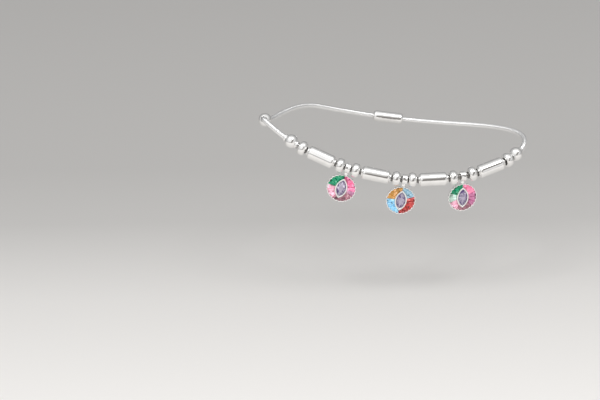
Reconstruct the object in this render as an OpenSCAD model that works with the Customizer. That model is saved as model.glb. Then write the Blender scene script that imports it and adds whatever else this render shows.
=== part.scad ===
// Anklet: silver beads and three round stone-set charms on a smooth snake chain.
// The loop keeps the form it has when worn. +Z is up the leg, +X points to the heel,
// and the beaded side faces -Y. The origin is the middle of the loop. Sizes are in mm.

/* [Loop] */
// Length of the worn loop from the front of the ankle to the heel
loop_length = 100; // [96:1:110]
// Width of the worn loop from side to side
loop_width = 58; // [54:1:66]
// How far both ends of the plan curve towards the beaded side
loop_bow = 6; // [4:0.5:7]
// How much higher the front of the loop sits than the heel side
front_rise = 15; // [8:1:18]
// How far both sides hang below the middle of the two ends
side_sag = 12; // [6:1:14]
// How much higher the far side sits than the beaded side
far_rise = 2; // [0:0.5:4]
// How far the middle charm sits behind the middle of the beaded side
middle_shift = 4; // [2:0.5:5]

/* [Chain] */
// Thickness of the snake chain
chain_d = 2; // [1.8:0.1:2.1]
// Length of the barrel clasp
clasp_length = 12; // [10:0.5:14]
// Thickness of the barrel clasp
clasp_d = 4.4; // [4:0.1:5]

/* [Beads] */
// Diameter of the round balls
ball_d = 5.1; // [4.8:0.1:5.2]
// Length of a ball over its two collars
ball_length = 5.6; // [5.4:0.1:5.8]
// Diameter of the long tube beads
tube_d = 4.9; // [4.5:0.1:5.1]
// Length of a tube bead over its two collars
tube_length = 10.9; // [10.6:0.1:11]
// Diameter of the rondelles
rondelle_d = 5.4; // [5:0.1:5.4]
// Width of a rondelle along the chain
rondelle_width = 3.1; // [2.9:0.1:3.2]
// Diameter of the hole through every bead
bead_bore = 2.4; // [2.3:0.05:2.5]

/* [Charms] */
// Diameter of a charm over its scallops
charm_d = 11; // [10.6:0.1:11.1]
// Thickness of a charm from its back to its rim
charm_thick = 1.8; // [1.6:0.1:2.2]
// Distance from the chain to the middle of a charm
charm_drop = 8.05; // [8:0.05:8.3]
// Diameter of the tube bail
bail_d = 3.8; // [3.6:0.1:3.9]
// Width of the tube bail along the chain
bail_width = 1.9; // [1.7:0.1:2]
// Number of scallops round the rim
scallops = 24; // [20:1:28]
// Length of the marquise bezel
bezel_length = 8.1; // [7.7:0.1:8.3]
// Width of the marquise bezel
bezel_width = 4.5; // [4.2:0.1:4.7]
// Thickness of the bezel's wall at its widest place
bezel_wall = 0.6; // [0.5:0.05:0.7]

/* [Stones] */
// Gap between two small stones
stone_gap = 0.12; // [0.1:0.01:0.16]
// Clearance between a stone and the silver round it
seat_gap = 0.1; // [0.08:0.01:0.14]

/* [Hidden] */
// Number of small stones round each marquise
stone_count = 16;
// Colour and display colour of every kind of small stone
shades = [
    ["pink", "hotpink"],
    ["salmon", "lightcoral"],
    ["orchid", "orchid"],
    ["magenta", "mediumvioletred"],
    ["mauve", "rosybrown"],
    ["rose", "lightpink"],
    ["green", "seagreen"],
    ["sea_green", "mediumaquamarine"],
    ["aqua", "skyblue"],
    ["sky", "lightskyblue"],
    ["red", "crimson"],
    ["amber", "darkorange"]
];

// For each charm the colour, first place and number of its stones, clockwise from the top
fields = [
    [["pink", 0, 4], ["magenta", 4, 1], ["mauve", 5, 4], ["rose", 9, 3], ["green", 12, 4]],
    [["aqua", 0, 3], ["red", 3, 5], ["sky", 8, 4], ["amber", 12, 4]],
    [
        ["salmon", 0, 3],
        ["orchid", 3, 3],
        ["mauve", 6, 3],
        ["rose", 9, 2],
        ["sea_green", 11, 2],
        ["green", 13, 3]
    ]
];

// How far each charm leans on the chain, with its top towards the heel, in degrees
leans = [0, 4, 7];

// Middle of the first ball, where the loop bends round the front of the ankle, and the chain's way there
front_ball = [2.9 - loop_length / 2, -11.2, 9.8];
front_way = [-0.1, -0.9, 0.42];
// Distance from the clasp at which the far side leaves the oval for the front bend
far_reach = 30;
// How far the chain keeps its way at the two ends of the far bend and of the near bend
far_pulls = [12, 9];
near_pulls = [4.5, 2];
bend_rings = 9;

// The pieces of the strand from the front to the heel, each with the gap to the next one
strand = [
    ["ball", 0.6],
    ["rondelle", 0.55],
    ["tube", 0.55],
    ["rondelle", 0.45],
    ["bail", 0.45],
    ["rondelle", 0.55],
    ["tube", 0.55],
    ["rondelle", 0.6],
    ["bail", 0.35],
    ["rondelle", 0.55],
    ["tube", 0.55],
    ["rondelle", 1.1],
    ["bail", 1.1],
    ["rondelle", 0.55],
    ["tube", 0.55],
    ["rondelle", 0.45],
    ["ball", 0]
];
middle_charm = 8;

// Kinds of all pieces on the chain, the first ball included, and the places of each kind
kinds = concat(["ball"], [for (piece = strand) piece[0]]);
balls = [for (i = [0 : len(kinds) - 1]) if (kinds[i] == "ball") i];
rondelles = [for (i = [0 : len(kinds) - 1]) if (kinds[i] == "rondelle") i];
tubes = [for (i = [0 : len(kinds) - 1]) if (kinds[i] == "tube") i];
bails = [for (i = [0 : len(kinds) - 1]) if (kinds[i] == "bail") i];

// Smoothness of round surfaces
$fn = 48;
chain_sides = 8;
// Longest step between two rings of the chain where it is bare
ring_step = 4.5;
// How far the chain runs on straight past each end of a bead
straight_margin = 0.15;
socket_depth = 3.2;
socket_clear = 0.2;
collar_wall = 0.25;
tube_collar_d = 3.3;
ball_collar_d = 2.9;
tube_rounding = 1.1;
rondelle_rounding = 1.35;
clasp_rounding = 1.2;
bail_bore = 2.7;
// Radius of one scallop of the rim
scallop_r = 0.9;
rim_wall = 0.45;
rim_thick = 0.7;
// The cup behind the rim: its wall, and how much it narrows to its back over how much of its depth
cup_wall = 0.2;
cup_taper = 0.45;
cup_taper_depth = 0.5;
// Levels of a charm, from its own middle towards its front
pocket_floor = -0.3;
bezel_front = 1.2;
neck_width = 1.5;
neck_thick = 1.1;
// How far the bail sits behind the middle of the charm, where the charm hangs level
bail_setback = 0.15;
// Thickness of the bezel's wall at its two tips, and the gap to the stones there
bezel_tip_wall = 0.8;
tip_gap = 0.17;
opening_length = bezel_length - 2 * bezel_tip_wall;
opening_width = bezel_width - 2 * bezel_wall;
pocket_r = charm_d / 2 - rim_wall;
// Height and relative size of the four outlines of a cut stone, from its keel to its table
small_cut = [[-0.2, 0.5], [0.35, 1], [0.45, 1], [0.86, 0.62]];
marquise_cut = [[-0.15, 0.2], [0.7, 1], [0.82, 1], [1.3, 0.58]];
marquise_points = 12;

// Point of the loop at a turn, where 90 is the clasp, -90 the middle of the beaded side and 0 the heel
function loop_point(turn) = [
    loop_length / 2 * cos(turn),
    loop_width / 2 * sin(turn) - loop_bow * pow(cos(turn), 2),
    (side_sag * cos(2 * turn) - front_rise * cos(turn) + far_rise * sin(turn)) / 2
];

// Distance along the loop from the middle of the clasp at every degree of the turn
first_turn = -270;
steps = [for (i = [1 : 360]) norm(loop_point(first_turn + i) - loop_point(first_turn + i - 1))];
distances = [for (i = 0, sum = 0; i <= 360; sum = sum + (i < 360 ? steps[i] : 0), i = i + 1) sum];
turns = [for (i = [0 : 360]) [distances[i], first_turn + i]];
loop_total = distances[360];

// Point of the loop at a distance along it
function along(distance) = loop_point(lookup(distance, turns));

function unit(v) = v / norm(v);

function half_length(kind) =
    kind == "ball" ? ball_length / 2 :
    kind == "tube" ? tube_length / 2 :
    kind == "rondelle" ? rondelle_width / 2 :
    bail_width / 2;

// Distance from the middle of one strand piece to the middle of the next
function pitch(i) = half_length(strand[i][0]) + strand[i][1] + half_length(strand[i + 1][0]);

// Distances along the loop of the middles of all strand pieces
offsets = [
    for (i = 0, sum = 0; i < len(strand); sum = sum + (i < len(strand) - 1 ? pitch(i) : 0), i = i + 1) sum
];
middle_place = distances[180] + middle_shift;
places = [for (offset = offsets) middle_place + offset - offsets[middle_charm]];

// Where a strand piece starts and ends along the loop, with the margin that keeps the chain straight
function piece_start(i) = places[i] - half_length(strand[i][0]) - straight_margin;
function piece_end(i) = places[i] + half_length(strand[i][0]) + straight_margin;
clasp_reach = clasp_length / 2 + straight_margin;

// Straight lines through the clasp and through every piece on the chain
clasp_line = [along(loop_total - clasp_reach), along(clasp_reach)];
front_half = (ball_length / 2 + straight_margin) * unit(front_way);
lines = concat(
    [[front_ball - front_half, front_ball + front_half]],
    [for (i = [0 : len(strand) - 1]) [along(piece_start(i)), along(piece_end(i))]]
);
function line_middle(line) = (line[0] + line[1]) / 2;
function line_way(line) = unit(line[1] - line[0]);

// Turns about Y and Z that lay the X axis along a line
function line_turns(line) =
    let(way = line_way(line))
    [0, -asin(way.z), atan2(way.y, way.x)];

// Ring middles on a bare stretch of the oval
function ring_count(stretch) = max(1, ceil((stretch[1] - stretch[0]) / ring_step));
function oval_rings(stretch) = [
    for (i = [0 : ring_count(stretch)])
        along(stretch[0] + (stretch[1] - stretch[0]) * i / ring_count(stretch))
];

// Ring middles on a smooth bend that leaves the end of one line and joins the start of the next
function bend_rings_between(before, after, pulls) =
    let(
        p = before[1],
        q = p + pulls[0] * line_way(before),
        s = after[0],
        r = s - pulls[1] * line_way(after)
    )
    [
        for (i = [1 : bend_rings])
            let(b = i / bend_rings, a = 1 - b)
            pow(a, 3) * p + 3 * pow(a, 2) * b * q + 3 * a * pow(b, 2) * r + pow(b, 3) * s
    ];
far_line = [along(far_reach - 1), along(far_reach)];

// Middle points of the chain's rings, with one more inside each socket of the clasp
socket_end = clasp_length / 2 - socket_depth + socket_clear;
chain_path = concat(
    [line_middle(clasp_line) + line_way(clasp_line) * socket_end],
    oval_rings([clasp_reach, far_reach]),
    bend_rings_between(far_line, lines[0], far_pulls),
    [lines[0][1]],
    bend_rings_between(lines[0], lines[1], near_pulls),
    [for (i = [0 : len(strand) - 2]) each oval_rings([piece_end(i), piece_start(i + 1)])],
    oval_rings([piece_end(len(strand) - 1), loop_total - clasp_reach]),
    [line_middle(clasp_line) - line_way(clasp_line) * socket_end]
);

// Way of the chain at a ring, halfway between the stretches on its two sides
function ring_way(i) =
    let(before = chain_path[max(i - 1, 0)], after = chain_path[min(i + 1, len(chain_path) - 1)])
    unit(unit(after - chain_path[i] + (i == len(chain_path) - 1 ? chain_path[i] - before : [0, 0, 0]))
        + unit(chain_path[i] - before + (i == 0 ? after - chain_path[i] : [0, 0, 0])));

function ring_points(i) =
    let(way = ring_way(i), side = unit(cross(way, [0, 0, 1])), up = cross(side, way))
    [
        for (k = [0 : chain_sides - 1])
            let(a = 360 * (k + 0.5) / chain_sides)
            chain_path[i] + chain_d / 2 * (cos(a) * side + sin(a) * up)
    ];

// Places a shape that lies along X on the chain at a strand piece
module on_strand(i) {
    translate(line_middle(lines[i]))
        rotate(line_turns(lines[i]))
            children();
}

// Half section of a round bar with rounded ends, its axis along Y
module bar_section(d, length, rounding) {
    translate([0, rounding - length / 2])
        square([d / 2, length - 2 * rounding]);
    translate([0, -length / 2])
        square([d / 2 - rounding, length]);
    for (end = [-1, 1])
        translate([d / 2 - rounding, end * (length / 2 - rounding)])
            circle(r = rounding);
}

// Turns a half section round the X axis and drills it through
module turned(bore, length) {
    rotate([0, 90, 0])
        rotate_extrude()
            difference() {
                intersection() {
                    children();
                    translate([0, -length])
                        square([length, 2 * length]);
                }
                translate([-1, -length])
                    square([bore / 2 + 1, 2 * length]);
            }
}

module ball(i) {
    color("silver")
        on_strand(i)
            turned(bead_bore, ball_length) {
                union() {
                    circle(d = ball_d);
                    translate([0, -ball_length / 2])
                        square([ball_collar_d / 2, ball_length]);
                }
            }
}

module rondelle(i) {
    color("silver")
        on_strand(i)
            turned(bead_bore, rondelle_d)
                bar_section(rondelle_d, rondelle_width, rondelle_rounding);
}

module tube(i) {
    color("silver")
        on_strand(i)
            turned(bead_bore, tube_length) {
                union() {
                    bar_section(tube_d, tube_length - 2 * collar_wall, tube_rounding);
                    translate([0, -tube_length / 2])
                        square([tube_collar_d / 2, tube_length]);
                }
            }
}

module clasp() {
    color("silver")
        translate(line_middle(clasp_line))
            rotate(line_turns(clasp_line))
                difference() {
                    rotate([0, 90, 0])
                        rotate_extrude()
                            intersection() {
                                bar_section(clasp_d, clasp_length, clasp_rounding);
                                translate([0, -clasp_length])
                                    square([clasp_d, 2 * clasp_length]);
                            }
                    for (end = [0, 180])
                        rotate([0, 0, end])
                            translate([clasp_length / 2 - socket_depth, 0, 0])
                                rotate([0, 90, 0])
                                    cylinder(d = bead_bore, h = socket_depth + 1);
                }
}

module chain() {
    rings = len(chain_path);
    last = (rings - 1) * chain_sides;
    color("gainsboro")
        polyhedron(
            points = [for (i = [0 : rings - 1]) each ring_points(i)],
            faces = concat(
                [[for (k = [0 : chain_sides - 1]) chain_sides - 1 - k]],
                [
                    for (i = [0 : rings - 2], k = [0 : chain_sides - 1], half = [0, 1])
                        let(a = i * chain_sides + k, b = i * chain_sides + (k + 1) % chain_sides)
                        half == 0 ? [a, b, b + chain_sides] : [a, b + chain_sides, a + chain_sides]
                ],
                [[for (k = [0 : chain_sides - 1]) last + k]]
            )
        );
}

// Places a charm drawn in its own frame, with X along the chain, Y up and Z to its front
module hang(n) {
    on_strand(bails[n])
        rotate([90, 0, 0])
            rotate([0, 0, -leans[n]])
                translate([0, -charm_drop, bail_setback])
                    children();
}

// Lens between two equal arcs, its long axis along Y
module lens(length, width) {
    arc_r = lens_arc(length, width);
    intersection_for(side = [-1, 1])
        translate([side * (arc_r - width / 2), 0])
            circle(r = arc_r, $fn = 96);
}

// Radius of the two arcs of a lens
function lens_arc(length, width) = (pow(length, 2) + pow(width, 2)) / (4 * width);

// Distance from the charm's middle to the bezel's outside, at an angle from its top
function bezel_reach(angle) =
    let(arc_r = lens_arc(bezel_length, bezel_width), inset = arc_r - bezel_width / 2)
    sqrt(pow(arc_r, 2) - pow(inset * cos(angle), 2)) - inset * abs(sin(angle));

// Scalloped plate that makes the front of the rim
module rim_plate() {
    translate([0, 0, charm_thick / 2 - rim_thick])
        linear_extrude(rim_thick) {
            circle(r = pocket_r);
            for (i = [0 : scallops - 1])
                rotate(360 * (i + 0.5) / scallops)
                    translate([0, charm_d / 2 - scallop_r])
                        circle(r = scallop_r);
        }
}

// Round cup behind the rim, narrower at its back
module cup() {
    back = -charm_thick / 2;
    wide = pocket_r + cup_wall;
    rotate_extrude()
        polygon([
            [0, back],
            [wide - cup_taper, back],
            [wide, back + cup_taper_depth],
            [wide, charm_thick / 2 - rim_thick / 2],
            [0, charm_thick / 2 - rim_thick / 2]
        ]);
}

// Rod along the bail's axis, as wide as asked for
module bail_rod(d, width) {
    translate([-width / 2, charm_drop, -bail_setback])
        rotate([0, 90, 0])
            cylinder(d = d, h = width);
}

// Block that joins the rim to the bail
module neck() {
    bottom = pocket_r + rim_wall / 2;
    top = charm_drop - bail_bore / 2;
    translate([-neck_width / 2, bottom, -neck_thick / 2 - bail_setback])
        cube([neck_width, top - bottom, neck_thick]);
}

// Tray, bezel, neck and tube bail, soldered into one piece
module setting(n) {
    color("silver")
        hang(n)
            difference() {
                union() {
                    difference() {
                        union() {
                            cup();
                            rim_plate();
                        }
                        translate([0, 0, pocket_floor])
                            cylinder(r = pocket_r, h = charm_thick);
                    }
                    translate([0, 0, -charm_thick / 2])
                        linear_extrude(bezel_front + charm_thick / 2)
                            lens(bezel_length, bezel_width);
                    neck();
                    bail_rod(bail_d, bail_width);
                }
                translate([0, 0, pocket_floor])
                    linear_extrude(charm_thick)
                        lens(opening_length, opening_width);
                bail_rod(bail_bore, 2 * bail_width);
            }
}

// Cut stone: the outline repeated at each level of the cut, drawn in about its own middle
module cut_stone(outline, cut) {
    count = len(outline);
    middle = [for (axis = [0, 1]) [for (point = outline) point[axis]] * [for (point = outline) 1 / count]];
    polyhedron(
        points = [
            for (level = cut, point = outline)
                let(place = middle + level[1] * (point - middle))
                [place.x, place.y, level[0]]
        ],
        faces = concat(
            [[for (k = [0 : count - 1]) k]],
            [
                for (i = [0 : len(cut) - 2], k = [0 : count - 1])
                    let(a = i * count + k, b = i * count + (k + 1) % count)
                    [a, a + count, b + count, b]
            ],
            [[for (k = [0 : count - 1]) len(cut) * count - 1 - k]]
        )
    );
}

// Corner of a small stone at a distance from the middle, set back sideways by half the stone gap
function stone_corner(distance, angle, side) =
    distance * [sin(angle), cos(angle)] + side * stone_gap / 2 * [cos(angle), -sin(angle)];

// Outline of one small stone between the bezel and the rim, clockwise from its inner corner
function stone_outline(place) =
    let(
        a = 360 * place / stone_count,
        b = 360 * (place + 1) / stone_count,
        outer = pocket_r - seat_gap
    )
    [
        stone_corner(bezel_reach(a) + tip_gap, a, 1),
        stone_corner(outer, a, 1),
        stone_corner(outer, b, -1),
        stone_corner(bezel_reach(b) + tip_gap, b, -1)
    ];

module stone_field(n, field) {
    shade = shades[search([field[0]], shades)[0]][1];
    color(shade)
        hang(n)
            for (place = [field[1] : field[1] + field[2] - 1])
                cut_stone(stone_outline(place), small_cut);
}

// Outline of the marquise, clockwise from its top, with a corner at both tips
function marquise_outline(length, width) =
    let(arc_r = lens_arc(length, width), inset = arc_r - width / 2, half = marquise_points / 2)
    [
        for (i = [0 : marquise_points - 1])
            let(
                side = i < half ? 1 : -1,
                share = (i % half) / half,
                a = side * asin(length / 2 / arc_r) * (1 - 2 * share)
            )
            [side * (arc_r * cos(a) - inset), arc_r * sin(a)]
    ];

module marquise(n) {
    outline = marquise_outline(opening_length - 2 * tip_gap, opening_width - 2 * seat_gap);
    color("thistle")
        hang(n)
            cut_stone(outline, marquise_cut);
}

chain();
clasp();
for (i = [1 : len(balls)]) ball(balls[i - 1]);
for (i = [1 : len(rondelles)]) rondelle(rondelles[i - 1]);
for (i = [1 : len(tubes)]) tube(tubes[i - 1]);
for (i = [1 : len(bails)]) setting(i - 1);
for (i = [1 : len(bails)]) marquise(i - 1);
for (i = [1 : len(bails)], field = fields[i - 1])
    stone_field(i - 1, field);
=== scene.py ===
"""Anklet of silver beads and three stone-set charms on a snake chain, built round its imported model."""

import math

import bmesh
import bpy
import numpy as np
from mathutils import Matrix, Vector


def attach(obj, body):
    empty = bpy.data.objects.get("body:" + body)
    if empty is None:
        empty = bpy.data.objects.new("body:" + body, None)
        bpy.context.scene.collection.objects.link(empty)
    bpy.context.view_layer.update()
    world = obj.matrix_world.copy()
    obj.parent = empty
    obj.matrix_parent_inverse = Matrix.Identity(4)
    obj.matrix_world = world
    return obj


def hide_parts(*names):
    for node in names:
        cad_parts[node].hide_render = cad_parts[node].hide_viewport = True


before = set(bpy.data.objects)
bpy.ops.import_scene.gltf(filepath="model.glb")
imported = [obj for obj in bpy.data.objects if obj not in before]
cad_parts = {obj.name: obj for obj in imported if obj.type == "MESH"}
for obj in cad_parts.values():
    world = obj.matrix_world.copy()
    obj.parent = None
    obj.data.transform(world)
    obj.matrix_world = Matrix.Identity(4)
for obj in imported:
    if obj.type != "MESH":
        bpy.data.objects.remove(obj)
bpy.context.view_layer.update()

# All sizes are in mm and become metres in make_piece(), unless a comment says otherwise.
MM = 0.001
FULL_TURN = 2 * math.pi

# Loop, the same formula as the model's chain
LOOP_LENGTH = 100
LOOP_WIDTH = 58
LOOP_BOW = 6
FRONT_RISE = 15
SIDE_SAG = 12
FAR_RISE = 2
MIDDLE_SHIFT = 4
FIRST_TURN = -270
STRAIGHT_MARGIN = 0.15

# The first ball, where the loop bends round the front of the ankle, and the bends on both its sides
FRONT_BALL = (2.9 - LOOP_LENGTH / 2, -11.2, 9.8)
FRONT_WAY = (-0.1, -0.9, 0.42)
FAR_REACH = 30
FAR_PULLS = (12, 9)
NEAR_PULLS = (4.5, 2)

# Pieces of the strand from the front to the heel, each with the gap to the next one
STRAND = [
    ("ball", 0.6), ("rondelle", 0.55), ("tube", 0.55), ("rondelle", 0.45), ("bail", 0.45),
    ("rondelle", 0.55), ("tube", 0.55), ("rondelle", 0.6), ("bail", 0.35), ("rondelle", 0.55),
    ("tube", 0.55), ("rondelle", 1.1), ("bail", 1.1), ("rondelle", 0.55), ("tube", 0.55),
    ("rondelle", 0.45), ("ball", 0),
]
MIDDLE_CHARM = 8

BALL_R = 2.55
BALL_LENGTH = 5.6
BALL_COLLAR_R = 1.45
TUBE_R = 2.45
TUBE_LENGTH = 10.9
TUBE_ROUNDING = 1.1
TUBE_COLLAR_R = 1.65
COLLAR_WALL = 0.25
RONDELLE_R = 2.7
RONDELLE_WIDTH = 3.1
RONDELLE_ROUNDING = 1.35
BORE_R = 1.2
CHAIN_R = 1.0
CLASP_LENGTH = 12
CLASP_R = 2.2
CLASP_ROUNDING = 1.2
SOCKET_DEPTH = 3.2
SOCKET_CLEAR = 0.2
BAIL_R = 1.9
BAIL_WIDTH = 1.9
BAIL_BORE_R = 1.35
BAIL_WAIST = 0.07
BAIL_SETBACK = 0.15
HALF_LENGTHS = {
    "ball": BALL_LENGTH / 2,
    "tube": TUBE_LENGTH / 2,
    "rondelle": RONDELLE_WIDTH / 2,
    "bail": BAIL_WIDTH / 2,
}

# Charms, in their own frame with X along the chain, Y up and Z to the front
CHARM_DROP = 8.05
CHARM_LEANS = (0, 4, 7)
CHARM_R = 5.5
CHARM_BACK = -0.9
BACK_DISH = 0.12
CUP_R = 5.2
CUP_BACK_R = 4.8
CUP_ROUNDING = 0.2
SCALLOPS = 24
SCALLOP_R = 0.9
RIM_FRONT = 0.9
RIM_THICK = 0.7
RIM_WALL = 0.36
POCKET_R = 4.59
POCKET_FLOOR = -0.3
BEZEL_LENGTH = 8.1
BEZEL_WIDTH = 4.5
BEZEL_FRONT = 1.2
BEZEL_CREST = 0.32
OPENING_LENGTH = 6.5
OPENING_WIDTH = 3.3
NECK_BOTTOM = 5.05
NECK_HALF_WIDTH = 0.75
NECK_HALF_THICK = 0.55
NECK_WAIST = 0.16

# Stones: gaps round them, the heights of their girdles, and the share of the outline and the height
# of each smaller ring of corners
STONE_COUNT = 16
STONE_OUTER = 5.06
STONE_GAP = 0.07
BEZEL_GAP = 0.06
SEAT_GAP = 0.08
STONE_KEEL = (0.3, -0.2)
STONE_GIRDLE = (0.35, 0.5)
STONE_TABLE = (0.66, 0.78)
MARQUISE_CORNERS = 16
MARQUISE_POINT = -0.15
MARQUISE_BASE = (0.42, 0.18)
MARQUISE_GIRDLE = (0.7, 0.82)
MARQUISE_STARS = (0.72, 1.1)
MARQUISE_TABLE = (0.52, 1.3)

# For each charm the colour, first place and number of its stones, clockwise from the top
STONE_FIELDS = [
    [("pink", 0, 4), ("magenta", 4, 1), ("mauve", 5, 4), ("rose", 9, 3), ("green", 12, 4)],
    [("aqua", 0, 3), ("red", 3, 5), ("sky", 8, 4), ("amber", 12, 4)],
    [("salmon", 0, 3), ("orchid", 3, 3), ("mauve", 6, 3), ("rose", 9, 2), ("sea_green", 11, 2),
     ("green", 13, 3)],
]


# Path of the chain

def loop_point(turn):
    """Point of the loop at a turn in degrees; works on arrays too."""
    t = np.radians(turn)
    x = LOOP_LENGTH / 2 * np.cos(t)
    y = LOOP_WIDTH / 2 * np.sin(t) - LOOP_BOW * np.cos(t) ** 2
    z = (SIDE_SAG * np.cos(2 * t) - FRONT_RISE * np.cos(t) + FAR_RISE * np.sin(t)) / 2
    return np.stack([x, y, z], axis=-1)


TURNS = np.arange(FIRST_TURN, FIRST_TURN + 361)
STEPS = np.linalg.norm(np.diff(loop_point(TURNS), axis=0), axis=1)
DISTANCES = np.concatenate([[0], np.cumsum(STEPS)])
LOOP_TOTAL = DISTANCES[-1]


def along(distance):
    """Point of the loop at a distance along it from the middle of the clasp."""
    return loop_point(np.interp(distance, DISTANCES, TURNS))


def strand_places():
    """Distance along the loop of the middle of every strand piece."""
    places = [0.0]
    for (kind, gap), (following, _) in zip(STRAND, STRAND[1:]):
        places.append(places[-1] + HALF_LENGTHS[kind] + gap + HALF_LENGTHS[following])
    middle = DISTANCES[180] + MIDDLE_SHIFT
    return [middle + place - places[MIDDLE_CHARM] for place in places]


def strand_stretches():
    """Start and end of the straight stretch through every strand piece."""
    reaches = [HALF_LENGTHS[kind] + STRAIGHT_MARGIN for kind, _ in STRAND]
    return [(place - reach, place + reach) for place, reach in zip(strand_places(), reaches)]


def unit(vector):
    """The vector at a length of 1."""
    return vector / np.linalg.norm(vector)


def front_line():
    """Ends of the straight stretch through the first ball."""
    half = (BALL_LENGTH / 2 + STRAIGHT_MARGIN) * unit(np.array(FRONT_WAY))
    return np.array(FRONT_BALL) - half, np.array(FRONT_BALL) + half


CLASP_REACH = CLASP_LENGTH / 2 + STRAIGHT_MARGIN
STRETCHES = strand_stretches()
KINDS = ["ball"] + [kind for kind, _ in STRAND]
LINES = [front_line()] + [(along(start), along(end)) for start, end in STRETCHES]
CLASP_LINE = (along(LOOP_TOTAL - CLASP_REACH), along(CLASP_REACH))


def lay_along(line):
    """Matrix that lays a shape drawn along X onto a straight line between two points."""
    start, end = line
    way = Vector(end - start).normalized()
    middle = Vector((start + end) / 2)
    turn = Matrix.Rotation(math.atan2(way.y, way.x), 4, "Z")
    rise = Matrix.Rotation(-math.asin(way.z), 4, "Y")
    return Matrix.Translation(middle) @ turn @ rise


def hang(n):
    """Matrix of charm n's own frame."""
    bail = [i for i, kind in enumerate(KINDS) if kind == "bail"][n]
    upright = Matrix.Rotation(math.radians(90), 4, "X")
    lean = Matrix.Rotation(math.radians(-CHARM_LEANS[n]), 4, "Z")
    drop = Matrix.Translation((0, -CHARM_DROP, BAIL_SETBACK))
    return lay_along(LINES[bail]) @ upright @ lean @ drop


# Mesh building

BEAD_SEGMENTS = 96
SHARP_ANGLE = math.radians(40)


def arc(x, y, radius, first, last, steps):
    """Points of an arc; angles in degrees."""
    angles = np.radians(np.linspace(first, last, steps + 1))
    return [(x + radius * math.cos(a), y + radius * math.sin(a)) for a in angles]


def mirrored(profile):
    """The other half of a profile of (x, radius) points."""
    return [(-x, r) for x, r in reversed(profile)]


def grid_faces(rows, columns, closed):
    """Quads of a grid of points whose columns go all the way round.

    Closed joins the last row to the first; otherwise both end rows get a cap.
    """
    faces = []
    for row in range(rows if closed else rows - 1):
        low = row * columns
        high = (row + 1) % rows * columns
        for k in range(columns):
            after = (k + 1) % columns
            faces.append((low + k, low + after, high + after, high + k))
    if not closed:
        faces.append(tuple(range(columns - 1, -1, -1)))
        faces.append(tuple((rows - 1) * columns + k for k in range(columns)))
    return faces


def lathe(profile, closed=True):
    """Turns a profile of (x, radius) points round the X axis."""
    angles = [FULL_TURN * k / BEAD_SEGMENTS for k in range(BEAD_SEGMENTS)]
    points = [(x, r * math.cos(a), r * math.sin(a)) for x, r in profile for a in angles]
    return points, grid_faces(len(profile), BEAD_SEGMENTS, closed)


def joined(*parts):
    """One list of points and one of faces from several."""
    points, faces = [], []
    for part_points, part_faces in parts:
        faces += [tuple(k + len(points) for k in face) for face in part_faces]
        points += list(part_points)
    return points, faces


def moved(part, matrix):
    """The part, moved by a matrix."""
    points, faces = part
    return [tuple(matrix @ Vector(p)) for p in points], faces


def add_attribute(piece, name, domain, values):
    """Gives every point or face of a piece a value that its material reads."""
    piece.data.attributes.new(name, "FLOAT", domain).data.foreach_set("value", values)


def make_piece(name, part, place, material, body, node, smooth=True):
    """Object in the row frame, in metres, that rides on a body and stands for a CAD node."""
    points, faces = part
    mesh = bpy.data.meshes.new(name)
    mesh.from_pydata([place @ Vector(p) * MM for p in points], [], faces)
    edit = bmesh.new()
    edit.from_mesh(mesh)
    bmesh.ops.recalc_face_normals(edit, faces=edit.faces)
    for face in edit.faces:
        face.smooth = smooth
    for edge in edit.edges:
        if smooth and edge.calc_face_angle(0) > SHARP_ANGLE:
            edge.smooth = False
    edit.to_mesh(mesh)
    edit.free()
    mesh.materials.append(material)
    piece = bpy.data.objects.new(name, mesh)
    bpy.context.scene.collection.objects.link(piece)
    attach(piece, body)
    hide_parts(node)
    return piece


# Beads

# Radius out to which painted shade darkens the ends of a bead, where shade falls in the gaps between
# beads, and the width over which that fades
END_REACHES = {"ball": 0, "tube": 1.6, "rondelle": 1.6}
END_FADE = 0.3


def ball_profile():
    """Ball with a short collar at both ends."""
    edge = math.degrees(math.asin(BALL_COLLAR_R / BALL_R))
    end = BALL_LENGTH / 2
    lip = 0.1
    right = [(end - lip / 2, BORE_R), (end, BORE_R + lip / 2)]
    right += arc(end - lip, BALL_COLLAR_R - lip, lip, 0, 90, 4)
    sphere = arc(0, 0, BALL_R, edge, 180 - edge, 40)
    return right + sphere + mirrored(right)


def tube_profile():
    """Long bead with rounded shoulders and a short collar at both ends."""
    end = TUBE_LENGTH / 2
    shoulder = end - COLLAR_WALL - TUBE_ROUNDING
    low = TUBE_R - TUBE_ROUNDING
    edge = math.degrees(math.asin((TUBE_COLLAR_R - low) / TUBE_ROUNDING))
    lip = 0.08
    right = [(end - lip / 2, BORE_R), (end, BORE_R + lip / 2)]
    right += arc(end - lip, TUBE_COLLAR_R - lip, lip, 0, 90, 4)
    right += arc(shoulder, low, TUBE_ROUNDING, edge, 90, 14)
    right += [(shoulder * share, TUBE_R) for share in (0.75, 0.5, 0.25)]
    return right + [(0, TUBE_R)] + mirrored(right)


def rondelle_profile():
    """Short bead with a fully rounded side."""
    end = RONDELLE_WIDTH / 2
    lip = 0.08
    right = [(end - lip, BORE_R), (end, BORE_R + lip)]
    right += arc(end - RONDELLE_ROUNDING, RONDELLE_R - RONDELLE_ROUNDING, RONDELLE_ROUNDING, 0, 90, 18)
    return right + mirrored(right)


def clasp_profile():
    """Barrel with rounded ends and a blind socket in each."""
    end = CLASP_LENGTH / 2
    lip = 0.12
    right = [(end - SOCKET_DEPTH, BORE_R), (end - lip, BORE_R)]
    right += arc(end - CLASP_ROUNDING, CLASP_R - CLASP_ROUNDING, CLASP_ROUNDING, 15, 90, 14)
    right += [(end / 2, CLASP_R)]
    return right + [(0, CLASP_R)] + mirrored(right)


def painted_end_shade(profile, reach):
    """Painted shade of a lathed piece: its ends are darkened from the bore out to a radius."""
    return [min(max((reach - r) / END_FADE, 0), 1) for _, r in profile for _ in range(BEAD_SEGMENTS)]


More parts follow.
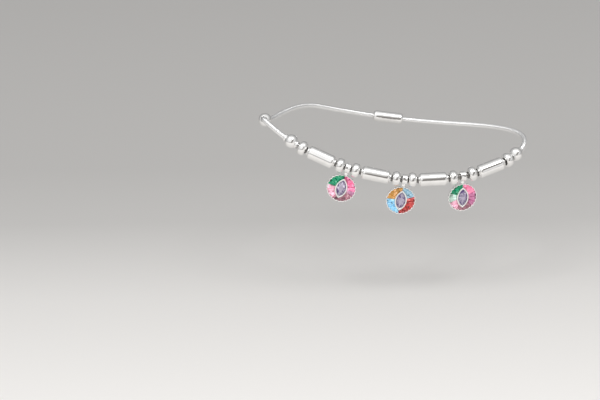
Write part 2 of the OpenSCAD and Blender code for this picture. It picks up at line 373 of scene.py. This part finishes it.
def make_beads(silver):
    """All balls, tubes and rondelles in their order on the chain, and the clasp."""
    profiles = {"ball": ball_profile(), "tube": tube_profile(), "rondelle": rondelle_profile()}
    counts = dict.fromkeys(profiles, 0)
    for kind, line in zip(KINDS, LINES):
        if kind in profiles:
            counts[kind] += 1
            node = f"{kind}_{counts[kind]}"
            bead = make_piece(f"{node}_bead", lathe(profiles[kind]), lay_along(line), silver,
                              "strand", node)
            # Painted shade on the ends of the bead
            add_attribute(bead, "shade", "POINT", painted_end_shade(profiles[kind], END_REACHES[kind]))
    make_piece("barrel_clasp", lathe(clasp_profile(), closed=False), lay_along(CLASP_LINE), silver,
               "strand", "clasp")


# Snake chain: rows of interlocked links, each a band that waves round the chain

LINK_PITCH = 0.46
LINK_WAVES = 6
LINK_SIDES = 36
LINK_SWING = 0.1
LINK_LEVELS = [(0, 0.07), (0.16, 0.015), (0.5, 0), (0.84, 0.015)]
PATH_STEP = 0.1
PATH_BLUR = 11
BEND_POINTS = 200

# Shade values of the chain: darker joints in its deepest seam, and painted shade all over where it runs
# between the beads
SEAM_SHADE = 0.98
PAINTED_GAP_SHADE = 1.0


def oval_points(start, end):
    """Points of the loop at even steps between two distances along it."""
    return along(np.arange(start, end, PATH_STEP))


def bend_points(before, after, pulls):
    """Points of a smooth bend that leaves the end of one line and joins the start of the next."""
    p, s = before[1], after[0]
    q = p + pulls[0] * unit(before[1] - before[0])
    r = s - pulls[1] * unit(after[1] - after[0])
    b = np.linspace(0, 1, BEND_POINTS)[:, None]
    a = 1 - b
    return a ** 3 * p + 3 * a ** 2 * b * q + 3 * a * b ** 2 * r + b ** 3 * s


def sampled(at, distances, vectors):
    """The vectors given at some distances, read off at others."""
    return np.stack([np.interp(at, distances, vectors[:, axis]) for axis in range(3)], axis=-1)


def chain_centres():
    """Centre points of the chain at even steps: straight through every piece, curved between."""
    middle = (CLASP_LINE[0] + CLASP_LINE[1]) / 2
    far_line = (along(FAR_REACH - 1), along(FAR_REACH))
    parts = [middle[None], oval_points(CLASP_REACH, FAR_REACH)]
    parts += [bend_points(far_line, LINES[0], FAR_PULLS), bend_points(LINES[0], LINES[1], NEAR_PULLS)]
    for (_, end), (start, _) in zip(STRETCHES, STRETCHES[1:]):
        parts.append(oval_points(end, start))
    parts += [oval_points(STRETCHES[-1][1], LOOP_TOTAL - CLASP_REACH), middle[None]]
    route = np.concatenate(parts)
    lengths = np.concatenate([[0], np.cumsum(np.linalg.norm(np.diff(route, axis=0), axis=1))])
    distances = np.arange(0, lengths[-1], PATH_STEP)
    centres = sampled(distances, lengths, route)
    kernel = np.hanning(PATH_BLUR + 2)[1:-1]
    kernel /= kernel.sum()
    padded = np.pad(centres, ((PATH_BLUR // 2, PATH_BLUR // 2), (0, 0)), mode="edge")
    smooth = np.stack([np.convolve(padded[:, axis], kernel, "valid") for axis in range(3)], axis=-1)
    return distances, smooth


def chain_part():
    """Points and faces of the chain, and its shade values: dark joints in the seams and painted shade
    between the beads.
    """
    distances, centres = chain_centres()
    ways = np.gradient(centres, axis=0)
    ways /= np.linalg.norm(ways, axis=1)[:, None]
    sides = np.cross(ways, [0, 0, 1])
    sides /= np.linalg.norm(sides, axis=1)[:, None]
    ups = np.cross(sides, ways)
    first = CLASP_LENGTH / 2 - SOCKET_DEPTH + SOCKET_CLEAR
    last = distances[-1] - first
    links = int((last - first - 2 * LINK_SWING) / LINK_PITCH)
    pitch = (last - first - 2 * LINK_SWING) / links
    rows = [(first + LINK_SWING + (j + share) * pitch, depth)
            for j in range(links) for share, depth in LINK_LEVELS]
    angles = FULL_TURN * np.arange(LINK_SIDES) / LINK_SIDES
    wave = np.abs((angles * LINK_WAVES / FULL_TURN) % 1 * 2 - 1) * 2 - 1
    # Stretch from the first ball's end to the last ball's start, which gets painted shade
    painted_from, painted_to = [distances[np.argmin(np.linalg.norm(centres - point, axis=1))]
                              for point in (LINES[1][1], LINES[-1][0])]
    points, shades = [], []
    for distance, depth in rows:
        at = distance + LINK_SWING * wave
        centre, side, up = [sampled(at, distances, vectors) for vectors in (centres, sides, ups)]
        outward = np.cos(angles)[:, None] * side + np.sin(angles)[:, None] * up
        points += [tuple(p) for p in centre + (CHAIN_R - depth) * outward]
        seam = SEAM_SHADE * depth / LINK_LEVELS[0][1]
        shades += [PAINTED_GAP_SHADE if painted_from < distance < painted_to else seam] * LINK_SIDES
    return (points, grid_faces(len(rows), LINK_SIDES, False)), shades


def make_chain(silver):
    """The snake chain, all the way round."""
    part, shades = chain_part()
    chain = make_piece("snake_chain", part, Matrix.Identity(4), silver, "strand", "chain")
    add_attribute(chain, "shade", "POINT", shades)


# Charm settings

RIM_POINTS = SCALLOPS * 12
LENS_POINTS = 64
NECK_SECTIONS = 7
NECK_SIDES = 24


def rim_radius(angle):
    """Outer radius of the scalloped rim, a ring of overlapping circles, at an angle from its top."""
    step = FULL_TURN / SCALLOPS
    past = (angle / step % 1 - 0.5) * step
    centre = CHARM_R - SCALLOP_R
    return centre * math.cos(past) + math.sqrt(SCALLOP_R ** 2 - (centre * math.sin(past)) ** 2)


def tray_part():
    """Round cup with a scalloped rim whose front is a thin wavy bead."""
    ledge = RIM_FRONT - RIM_THICK
    crown = RIM_WALL / 2
    flat = CUP_BACK_R - 2 * CUP_ROUNDING
    cup = [(share * flat, CHARM_BACK + BACK_DISH * (1 - share ** 2)) for share in (0.1, 0.4, 0.7, 1)]
    cup += arc(CUP_BACK_R - CUP_ROUNDING, CHARM_BACK + CUP_ROUNDING, CUP_ROUNDING, -90, -45, 3)
    cup += [(CUP_R, CHARM_BACK + 0.5), (CUP_R, ledge - 0.08)]
    rim = [(-0.08, ledge), (0, ledge + 0.08)]
    rim += arc(-crown, RIM_FRONT - crown, crown, 0, 180, 10)
    rim += [(-RIM_WALL, POCKET_FLOOR + 0.5)]
    angles = [FULL_TURN * k / RIM_POINTS for k in range(RIM_POINTS)]
    edge = [rim_radius(angle) for angle in angles]
    axis = [0] * RIM_POINTS
    levels = [(axis, *level) for level in cup]
    levels += [(edge, *level) for level in rim]
    levels += [(axis, POCKET_R, POCKET_FLOOR)]
    points = []
    for bases, reach, z in levels:
        for base, angle in zip(bases, angles):
            points.append(((base + reach) * math.sin(angle), (base + reach) * math.cos(angle), z))
    return points, grid_faces(len(levels), RIM_POINTS, False)


def lens_arc(length, width):
    """Radius of the two arcs of a lens, and how far their centres lie past its middle."""
    radius = (length ** 2 + width ** 2) / (4 * width)
    return radius, radius - width / 2


def lens_point(length, width, share):
    """Point of a lens outline; the share runs clockwise round it from its top tip."""
    radius, inset = lens_arc(length, width)
    half = math.asin(length / 2 / radius)
    side = 1 if share < 0.5 else -1
    a = side * half * (1 - 4 * (share % 0.5))
    return side * (radius * math.cos(a) - inset), radius * math.sin(a)


def bezel_part():
    """Smooth thick wall round the marquise, with a round crest."""
    levels = [(0, POCKET_FLOOR - 0.1), (0, 0.4), (0, BEZEL_FRONT - BEZEL_CREST - 0.1)]
    for degrees in range(0, 181, 15):
        a = math.radians(degrees)
        levels.append(((1 - math.cos(a)) / 2, BEZEL_FRONT - BEZEL_CREST * (1 - math.sin(a))))
    levels += [(1, 0.3), (1, POCKET_FLOOR - 0.1)]
    points = []
    for share, z in levels:
        for k in range(LENS_POINTS):
            outer = lens_point(BEZEL_LENGTH, BEZEL_WIDTH, k / LENS_POINTS)
            inner = lens_point(OPENING_LENGTH, OPENING_WIDTH, k / LENS_POINTS)
            x, y = [a + share * (b - a) for a, b in zip(outer, inner)]
            points.append((x, y, z))
    return points, grid_faces(len(levels), LENS_POINTS, True)


def squarish(value):
    """A sine or cosine, changed so that the circle it draws becomes a rounded square."""
    return math.copysign(abs(value) ** 0.5, value)


def neck_part():
    """Rounded post from the rim to the bail, slightly waisted."""
    top = CHARM_DROP - BAIL_BORE_R - 0.1
    points = []
    for row in range(NECK_SECTIONS):
        share = row / (NECK_SECTIONS - 1)
        waist = 1 - NECK_WAIST * math.sin(math.pi * share)
        for k in range(NECK_SIDES):
            a = FULL_TURN * k / NECK_SIDES
            x = squarish(math.cos(a)) * NECK_HALF_WIDTH * waist
            z = squarish(math.sin(a)) * NECK_HALF_THICK * waist - BAIL_SETBACK
            points.append((x, NECK_BOTTOM + share * (top - NECK_BOTTOM), z))
    return points, grid_faces(NECK_SECTIONS, NECK_SIDES, False)


def bail_part():
    """Tube bail with soft edges, like a low spool."""
    end = BAIL_WIDTH / 2
    lip = 0.22
    right = [(end - 0.08, BAIL_BORE_R), (end, BAIL_BORE_R + 0.08)]
    right += arc(end - lip, BAIL_R - lip, lip, 0, 90, 6)
    right += [(end * share, BAIL_R - BAIL_WAIST * (1 - share)) for share in (0.5, 0.25)]
    profile = right + [(0, BAIL_R - BAIL_WAIST)] + mirrored(right)
    return moved(lathe(profile), Matrix.Translation((0, CHARM_DROP, -BAIL_SETBACK)))


def make_setting(n, silver):
    """Silver of charm n, satin on its tray and bezel and polished on its neck and bail."""
    satin_part = joined(tray_part(), bezel_part())
    part = joined(satin_part, neck_part(), bail_part())
    number = n + 1
    setting = make_piece(f"charm_setting_{number}", part, hang(n), silver,
                         f"charm_{number}", f"setting_{number}")
    satin = [float(k < len(satin_part[0])) for k in range(len(part[0]))]
    add_attribute(setting, "satin", "POINT", satin)


# Stones

# Painted light and shade on the marquise's facets: the range of its table, the choice for its crown, and
# its base
TABLE_TONES = (0.3, 0.6)
CROWN_TONES = [0.0, 0.15, 0.45, 0.8]
BASE_TONE = 0.3


def bezel_reach(angle):
    """Distance from the charm's middle to just outside the bezel, at an angle from its top."""
    radius, inset = lens_arc(BEZEL_LENGTH, BEZEL_WIDTH)
    edge = radius + BEZEL_GAP
    return math.sqrt(edge ** 2 - (inset * math.cos(angle)) ** 2) - inset * abs(math.sin(angle))


def halfway(p, q):
    """Point in the middle between two."""
    return (p[0] + q[0]) / 2, (p[1] + q[1]) / 2


def stone_outline(place):
    """Points round a small stone that follows bezel and rim, clockwise from its inner corner."""
    a = FULL_TURN * place / STONE_COUNT
    b = FULL_TURN * (place + 1) / STONE_COUNT
    half_gap = STONE_GAP / 2
    inner = [(bezel_reach(x), x) for x in (a, (a + b) / 2, b)]
    outer = [(STONE_OUTER, x) for x in (a, (a + b) / 2, b)]
    ring = []
    for row, sides in ((outer, (1, 0, -1)), (inner[::-1], (-1, 0, 1))):
        for (distance, angle), side in zip(row, sides):
            turned = angle + side * half_gap / distance
            ring.append((distance * math.sin(turned), distance * math.cos(turned)))
    first_side = halfway(ring[5], ring[0])
    last_side = halfway(ring[2], ring[3])
    return [ring[5], first_side, *ring[0:3], last_side, *ring[3:5]]


def scaled(outline, scale, z):
    """The outline drawn in about its own middle, at a height."""
    x = sum(p[0] for p in outline) / len(outline)
    y = sum(p[1] for p in outline) / len(outline)
    return [(x + scale * (p[0] - x), y + scale * (p[1] - y), z) for p in outline]


def small_stone_part(place):
    """Tapered stone with a scissor-cut crown and base, a thin girdle and a table."""
    outline = stone_outline(place)
    keel = scaled(outline, *STONE_KEEL)[::2]
    low, high = [scaled(outline, 1, z) for z in STONE_GIRDLE]
    table = scaled(outline, *STONE_TABLE)[::2]
    points = keel + low + high + table
    corners, sides = len(outline), len(keel)
    low_at, high_at, table_at = sides, sides + corners, sides + 2 * corners
    faces = [tuple(range(sides)), tuple(range(table_at, table_at + sides))]
    for k in range(corners):
        after = (k + 1) % corners
        faces.append((low_at + k, low_at + after, high_at + after, high_at + k))
    for k in range(sides):
        after = (k + 1) % sides
        for ring, cap in ((low_at, 0), (high_at, table_at)):
            corner, middle, following = ring + 2 * k, ring + 2 * k + 1, ring + 2 * after
            faces.append((corner, middle, cap + k))
            faces.append((middle, cap + after, cap + k))
            faces.append((middle, following, cap + after))
    return points, faces


def marquise_part():
    """Brilliant-cut marquise: table, stars, kites and girdle facets over a pointed base."""
    length, width = OPENING_LENGTH - 3 * SEAT_GAP, OPENING_WIDTH - 2 * SEAT_GAP
    corners, sides = MARQUISE_CORNERS, MARQUISE_CORNERS // 2
    outline = [lens_point(length, width, k / corners) for k in range(corners)]
    low, high = [scaled(outline, 1, z) for z in MARQUISE_GIRDLE]
    table = scaled(outline[::2], *MARQUISE_TABLE)
    stars = scaled(outline[1::2], *MARQUISE_STARS)
    base = scaled(outline[1::2], *MARQUISE_BASE)
    points = low + high + table + stars + base + [(0, 0, MARQUISE_POINT)]
    table_at = 2 * corners
    stars_at = table_at + sides
    base_at = stars_at + sides
    tip = base_at + sides
    faces = [tuple(range(table_at, stars_at))]
    for k in range(corners):
        after = (k + 1) % corners
        faces.append((k, after, corners + after, corners + k))
    for k in range(sides):
        after = (k + 1) % sides
        before = (k - 1) % sides
        star, last_star = stars_at + k, stars_at + before
        corner, middle, following = corners + 2 * k, corners + 2 * k + 1, corners + 2 * after
        faces += [(table_at + k, star, table_at + after), (table_at + k, last_star, corner)]
        faces += [(table_at + k, corner, star), (star, corner, middle), (star, middle, following)]
        main, last_main = base_at + k, base_at + before
        corner, middle, following = 2 * k, 2 * k + 1, 2 * after
        faces += [(tip, last_main, corner), (tip, corner, main)]
        faces += [(main, corner, middle), (main, middle, following)]
    return points, faces


def marquise_tones(seed):
    """Painted light and shade in the order of the marquise's faces: a pale table, mixed stars and kites,
    a dark outline.
    """
    mixed = np.random.default_rng(seed)
    tones = [mixed.uniform(*TABLE_TONES)] + [0.0] * MARQUISE_CORNERS
    for _ in range(MARQUISE_CORNERS // 2):
        tones += [mixed.choice(CROWN_TONES) for _ in range(3)] + [0.0, 0.0]
        tones += [BASE_TONE] * 4
    return tones


def make_stones(n, finishes):
    """The marquise and the small stones of charm n, with painted light and shade of its own for every
    facet.
    """
    number = n + 1
    body = f"charm_{number}"
    marquise = make_piece(f"marquise_stone_{number}", marquise_part(), hang(n), finishes["lavender"],
                          body, f"marquise_{number}", smooth=False)
    add_attribute(marquise, "painted_facet_light", "FACE", marquise_tones(number))
    for colour, first, count in STONE_FIELDS[n]:
        part = joined(*[small_stone_part(first + k) for k in range(count)])
        piece = make_piece(f"small_stones_{number}_{colour}", part, hang(n), finishes[colour],
                           body, f"stones_{number}_{colour}", smooth=False)
        # Painted reflection and shade: a random tone for every facet
        tones = np.random.default_rng(10 * number + first).random(len(part[1]))
        add_attribute(piece, "painted_facet_light", "FACE", tones)


# Node helpers

# Range that most values of a noise lie in
NOISE_SPREAD = (0.3, 0.7)


def new_material(name):
    """A node material and its shader node."""
    material = bpy.data.materials.new(name)
    material.use_nodes = True
    return material, material.node_tree.nodes["Principled BSDF"]


def add_node(tree, kind, **settings):
    """A new node with its settings."""
    node = tree.nodes.new(kind)
    for key, value in settings.items():
        setattr(node, key, value)
    return node


def object_place(tree):
    """Place on the surface, in the object's own space."""
    return add_node(tree, "ShaderNodeTexCoord").outputs["Object"]


def attribute(tree, name):
    """Value that add_attribute gave the mesh."""
    return add_node(tree, "ShaderNodeAttribute", attribute_name=name).outputs["Fac"]


def noise(tree, scale, detail):
    """Noise in the object's own space; the scale is in features per metre."""
    texture = add_node(tree, "ShaderNodeTexNoise")
    texture.inputs["Scale"].default_value = scale
    texture.inputs["Detail"].default_value = detail
    tree.links.new(object_place(tree), texture.inputs["Vector"])
    return texture.outputs["Fac"]


def ramp(tree, value, stops):
    """Colour ramp over a value."""
    node = add_node(tree, "ShaderNodeValToRGB")
    while len(node.color_ramp.elements) < len(stops):
        node.color_ramp.elements.new(0.5)
    for element, (position, colour) in zip(node.color_ramp.elements, stops):
        element.position = position
        element.color = (*colour, 1)
    tree.links.new(value, node.inputs["Fac"])
    return node.outputs["Color"]


def map_range(tree, value, low, high, to_low, to_high, kind="LINEAR"):
    """The value, taken from one range to another and held at the ends."""
    node = add_node(tree, "ShaderNodeMapRange", interpolation_type=kind)
    numbers = {"From Min": low, "From Max": high, "To Min": to_low, "To Max": to_high}
    for socket, number in numbers.items():
        node.inputs[socket].default_value = number
    tree.links.new(value, node.inputs["Value"])
    return node.outputs["Result"]


def uneven(tree, scale, detail, low, high):
    """Noise that runs between two values."""
    return map_range(tree, noise(tree, scale, detail), *NOISE_SPREAD, low, high)


def calculate(tree, operation, first, second):
    """Sum, product or the like of two values, each a number or a node's output."""
    node = add_node(tree, "ShaderNodeMath", operation=operation)
    for socket, value in zip(node.inputs, (first, second)):
        if isinstance(value, (int, float)):
            socket.default_value = value
        else:
            tree.links.new(value, socket)
    return node.outputs["Value"]


def mixed_with(tree, factor, colour, fixed):
    """The colour, mixed with a fixed one."""
    mix = add_node(tree, "ShaderNodeMix", data_type="RGBA")
    first, second = [socket for socket in mix.inputs if socket.type == "RGBA"]
    tree.links.new(factor, mix.inputs["Factor"])
    tree.links.new(colour, first)
    second.default_value = (*fixed, 1)
    return [socket for socket in mix.outputs if socket.type == "RGBA"][0]


def add_bump(tree, shader, height, strength):
    """Makes the surface slightly uneven; the height is in metres."""
    bump = add_node(tree, "ShaderNodeBump")
    bump.inputs["Strength"].default_value = strength
    bump.inputs["Distance"].default_value = 0.00002
    tree.links.new(height, bump.inputs["Height"])
    tree.links.new(bump.outputs["Normal"], shader.inputs["Normal"])


# Silver

SILVER_TINT = (1, 0.992, 0.98)
DULL_SHARE = 0.94
# Colour of the painted shade on the ends of the beads
PAINTED_END_SHADE = (0.16, 0.15, 0.145)

# Scale and detail of each kind of unevenness
CLOUDS = (450, 3)
DENTS = (700, 2)
BEAD_WEAR = (2600, 5)
CHAIN_WEAR = (2600, 4)
CHAIN_GRAIN = (3500, 3)

# Colour of the chain at each shade value: darker joints towards the seams, and painted shade at the
# highest value, between the beads
CHAIN_COLOURS = [
    (0, (0.98, 0.98, 0.98)),
    (0.6, (0.94, 0.935, 0.93)),
    (0.99, (0.72, 0.71, 0.7)),
    (1, (0.3, 0.29, 0.28)),
]
CHAIN_ROUGHNESS = (0.1, 0.2)


def silver_material(name, tone, roughness, satin=0):
    """Silver with faint clouds and wear, with painted shade where the mesh's shade value is set, and
    rougher where it is satin.
    """
    material, shader = new_material(name)
    tree = material.node_tree
    shader.inputs["Metallic"].default_value = 1
    light = tuple(tone * c for c in SILVER_TINT)
    dull = tuple(DULL_SHARE * c for c in light)
    polish = ramp(tree, noise(tree, *CLOUDS), [(0.35, dull), (0.65, light)])
    # Painted shade: darkened where the mesh's shade value is set, on the ends of the beads
    colour = mixed_with(tree, attribute(tree, "shade"), polish, PAINTED_END_SHADE)
    tree.links.new(colour, shader.inputs["Base Color"])
    worn = uneven(tree, *BEAD_WEAR, roughness * 0.7, roughness * 1.3)
    rougher = calculate(tree, "MULTIPLY", attribute(tree, "satin"), satin)
    tree.links.new(calculate(tree, "ADD", worn, rougher), shader.inputs["Roughness"])
    add_bump(tree, shader, noise(tree, *DENTS), 0.12)
    return material


def chain_material():
    """Silver of the snake chain, darker in the seams between its links, with painted shade where it runs
    between the beads.
    """
    material, shader = new_material("snake_chain_silver")
    tree = material.node_tree
    shader.inputs["Metallic"].default_value = 1
    tree.links.new(ramp(tree, attribute(tree, "shade"), CHAIN_COLOURS), shader.inputs["Base Color"])
    tree.links.new(uneven(tree, *CHAIN_WEAR, *CHAIN_ROUGHNESS), shader.inputs["Roughness"])
    add_bump(tree, shader, noise(tree, *CHAIN_GRAIN), 0.1)
    return material


# Stone materials

STONE_COLOURS = {
    "lavender": (0.46, 0.41, 0.52),
    "pink": (0.97, 0.24, 0.44),
    "magenta": (0.48, 0.2, 0.34),
    "mauve": (0.42, 0.19, 0.24),
    "rose": (1.0, 0.5, 0.64),
    "green": (0.005, 0.33, 0.16),
    "sea_green": (0.5, 0.66, 0.58),
    "aqua": (0.32, 0.52, 0.64),
    "sky": (0.31, 0.66, 0.93),
    "red": (0.6, 0.07, 0.065),
    "amber": (0.6, 0.3, 0.07),
    "salmon": (1.0, 0.28, 0.46),
    "orchid": (0.58, 0.2, 0.37),
}

# Darkest painted shade of the small stones as a share of their colour, and that of the marquises
DARK_SHARE = 0.25
MARQUISE_DARK = (0.1, 0.06, 0.19)

# Patches of painted reflection seen inside a stone, per metre, and their share in its painted tone; the
# facets have the rest
PATCH_SCALE = 1100
PATCH_SHARE = 0.65
MARQUISE_PATCH_SHARE = 0.3

STONE_WEAR = (3000, 3)
STONE_ROUGHNESS = (0.03, 0.12)
# Strength of the painted glow that the stones give off in their own colour, standing for light returned
# from inside them
STONE_PAINTED_GLOW = 0.25
STONE_CLEARNESS = 0.04
STONE_IOR = 1.52


def patches(tree):
    """A random value for each of the patches of painted reflection seen inside a stone."""
    cells = add_node(tree, "ShaderNodeTexVoronoi")
    cells.inputs["Scale"].default_value = PATCH_SCALE
    tree.links.new(object_place(tree), cells.inputs["Vector"])
    colour = add_node(tree, "ShaderNodeSeparateColor")
    tree.links.new(cells.outputs["Color"], colour.inputs["Color"])
    return colour.outputs["Red"]


def stone_material(name, colour, dark, patch_share):
    """Clear coloured stone with painted light: its facets and the patches seen inside it get painted
    reflections and shade, with a few painted glints and a painted glow.
    """
    material, shader = new_material(f"{name}_stone")
    tree = material.node_tree
    facet = calculate(tree, "MULTIPLY", attribute(tree, "painted_facet_light"), 1 - patch_share)
    patch = calculate(tree, "MULTIPLY", patches(tree), patch_share)
    # Painted shade, body colour and painted glints, by tone
    deep, light = [tuple(min(share * c, 1) for c in colour) for share in (0.8, 1.08)]
    glint = tuple(min(1.3 * c + 0.22, 1) for c in colour)
    stops = [(0.1, dark), (0.3, deep), (0.72, light), (0.88, glint)]
    finish = ramp(tree, calculate(tree, "ADD", facet, patch), stops)
    tree.links.new(finish, shader.inputs["Base Color"])
    # Painted glow: the stone gives off light in its own colour
    tree.links.new(finish, shader.inputs["Emission Color"])
    shader.inputs["Emission Strength"].default_value = STONE_PAINTED_GLOW
    shader.inputs["Transmission Weight"].default_value = STONE_CLEARNESS
    shader.inputs["IOR"].default_value = STONE_IOR
    tree.links.new(uneven(tree, *STONE_WEAR, *STONE_ROUGHNESS), shader.inputs["Roughness"])
    return material


def stone_materials():
    """A material for every colour; lavender is the marquises'."""
    finishes = {}
    for name, colour in STONE_COLOURS.items():
        if name == "lavender":
            dark, patch_share = MARQUISE_DARK, MARQUISE_PATCH_SHARE
        else:
            dark, patch_share = tuple(DARK_SHARE * c for c in colour), PATCH_SHARE
        finishes[name] = stone_material(name, colour, dark, patch_share)
    return finishes


# Floor, light and camera

# The floor's painted shade runs from its pale front to its greyer back, between these two depths in
# metres
FLOOR_LEVEL = -55
FLOOR_REACH = 4000
FLOOR_DEPTHS = (-0.13, 0.37)
FLOOR_PAINTED_TONES = [(0, 0.92), (0.2, 0.73), (0.34, 0.53), (0.46, 0.48), (1, 0.46)]
FLOOR_TINT = (1, 0.98, 0.955)
FLOOR_ROUGHNESS = 0.9

LENS = 85
SENSOR = 36
PICTURE = (600, 400)
VIEW_AZIMUTH = -2.21
VIEW_ELEVATION = 21.05
VIEW_DISTANCE = 541.4
ORIGIN_PIXEL = (390.7, 131.8)

# Dark gaps of the studio, seen as the dark lines in the silver. Each has an azimuth, an elevation and
# a slant, then half its width and half its length, to the full dark and to its last, and its depth.
GAPS = [
    (20, 21, 50, (0.06, 0.36), (0.5, 0.85), 0.85),
    (-13, 4, 0, (0.04, 0.24), (0.2, 0.45), 0.45),
]
GAP_TONE = (0.1, 0.085, 0.07)

# Tones of the studio, from the place opposite its brightest one, which is high in front, to that one
BRIGHT_ELEVATION = 55
SKY_TONES = [(0.2, 0.25), (0.37, 0.33), (0.66, 0.55), (0.79, 0.8), (0.91, 1.0)]

# Places of the lights and their size in metres, and their power in watts
LIGHTS = {"left_light": (-0.39, -0.33, 1.04), "right_light": (0.39, -0.33, 1.04)}
LIGHT_SIZE = 0.4
LIGHT_POWER = 2.3


def make_floor():
    """Plain pale floor with painted shade, a little greyer behind the anklet than in front of it."""
    material, shader = new_material("pale_floor")
    tree = material.node_tree
    spot = add_node(tree, "ShaderNodeSeparateXYZ")
    tree.links.new(object_place(tree), spot.inputs["Vector"])
    depth = map_range(tree, spot.outputs["Y"], *FLOOR_DEPTHS, 0, 1)
    # Painted shade: darker towards the back
    tones = [(place, tuple(tone * c for c in FLOOR_TINT)) for place, tone in FLOOR_PAINTED_TONES]
    tree.links.new(ramp(tree, depth, tones), shader.inputs["Base Color"])
    shader.inputs["Roughness"].default_value = FLOOR_ROUGHNESS
    reach = FLOOR_REACH * MM
    corners = [(-reach, -reach, 0), (reach, -reach, 0), (reach, reach, 0), (-reach, reach, 0)]
    mesh = bpy.data.meshes.new("floor")
    mesh.from_pydata(corners, [], [(0, 1, 2, 3)])
    mesh.materials.append(material)
    floor = bpy.data.objects.new("floor", mesh)
    floor.location.z = FLOOR_LEVEL * MM
    bpy.context.scene.collection.objects.link(floor)


def direction_at(azimuth, elevation):
    """Unit vector at an azimuth to the right of the photograph's view and an elevation, in degrees."""
    a, e = math.radians(VIEW_AZIMUTH + azimuth), math.radians(elevation)
    return Vector((math.sin(a) * math.cos(e), -math.cos(a) * math.cos(e), math.sin(e)))


def dot(tree, direction, axis):
    """How far a direction points along an axis."""
    node = add_node(tree, "ShaderNodeVectorMath", operation="DOT_PRODUCT")
    tree.links.new(direction, node.inputs[0])
    node.inputs[1].default_value = axis
    return node.outputs["Value"]


def gap_share(tree, direction, azimuth, elevation, slant, width, length, depth):
    """How far a direction lies in a dark gap of the studio, from 0 to the gap's depth."""
    centre = direction_at(azimuth, elevation)
    level = Vector((0, 0, 1)).cross(centre).normalized()
    along_gap = Matrix.Rotation(math.radians(slant), 3, centre) @ level
    over_gap = centre.cross(along_gap)
    share = depth
    for axis, (full, last) in ((over_gap, width), (along_gap, length)):
        offset = calculate(tree, "ABSOLUTE", dot(tree, direction, axis), 0)
        inside = map_range(tree, offset, full, last, 1, 0, kind="SMOOTHSTEP")
        share = calculate(tree, "MULTIPLY", inside, share)
    front = calculate(tree, "GREATER_THAN", dot(tree, direction, centre), 0)
    return calculate(tree, "MULTIPLY", share, front)


def make_world():
    """Soft studio, brightest high in front and darker away from there, with two dark gaps in front."""
    world = bpy.data.worlds.new("studio")
    bpy.context.scene.world = world
    world.use_nodes = True
    tree = world.node_tree
    direction = add_node(tree, "ShaderNodeTexCoord").outputs["Generated"]
    first, second = [gap_share(tree, direction, *gap) for gap in GAPS]
    gap = calculate(tree, "MAXIMUM", first, second)
    nearness = dot(tree, direction, direction_at(0, BRIGHT_ELEVATION))
    greys = [(place, (tone, tone, tone)) for place, tone in SKY_TONES]
    sky = ramp(tree, map_range(tree, nearness, -1, 1, 0, 1), greys)
    tree.links.new(mixed_with(tree, gap, sky, GAP_TONE), tree.nodes["Background"].inputs["Color"])


def add_area_light(name, location):
    """Square soft light that faces the middle of the anklet."""
    light = bpy.data.lights.new(name, "AREA")
    light.shape = "SQUARE"
    light.size = LIGHT_SIZE
    light.energy = LIGHT_POWER
    lamp = bpy.data.objects.new(name, light)
    lamp.location = location
    lamp.rotation_mode = "QUATERNION"
    lamp.rotation_quaternion = (-Vector(location)).to_track_quat("-Z", "Y")
    bpy.context.scene.collection.objects.link(lamp)


def make_camera():
    """Camera of the photograph: its axis is turned so that the origin falls on its own pixel."""
    focal = LENS / SENSOR * PICTURE[0]
    data = bpy.data.cameras.new("camera")
    data.lens = LENS
    data.sensor_width = SENSOR
    data.clip_start = 0.01
    camera = bpy.data.objects.new("camera", data)
    back = direction_at(0, VIEW_ELEVATION)
    level = (-back).to_track_quat("-Z", "Y")
    ray = Vector((ORIGIN_PIXEL[0] - PICTURE[0] / 2, PICTURE[1] / 2 - ORIGIN_PIXEL[1], -focal))
    camera.location = back * VIEW_DISTANCE * MM
    camera.rotation_mode = "QUATERNION"
    camera.rotation_quaternion = level @ ray.rotation_difference(Vector((0, 0, -1)))
    bpy.context.scene.collection.objects.link(camera)
    bpy.context.scene.camera = camera


make_camera()
bead_silver = silver_material("bead_silver", 0.97, 0.06)
setting_silver = silver_material("setting_silver", 1.0, 0.08, 0.18)
stone_finishes = stone_materials()
make_chain(chain_material())
make_beads(bead_silver)
for charm in range(len(STONE_FIELDS)):
    make_setting(charm, setting_silver)
    make_stones(charm, stone_finishes)
make_floor()
make_world()
for light_name, light_place in LIGHTS.items():
    add_area_light(light_name, light_place)
bpy.context.scene.view_settings.view_transform = "Standard"
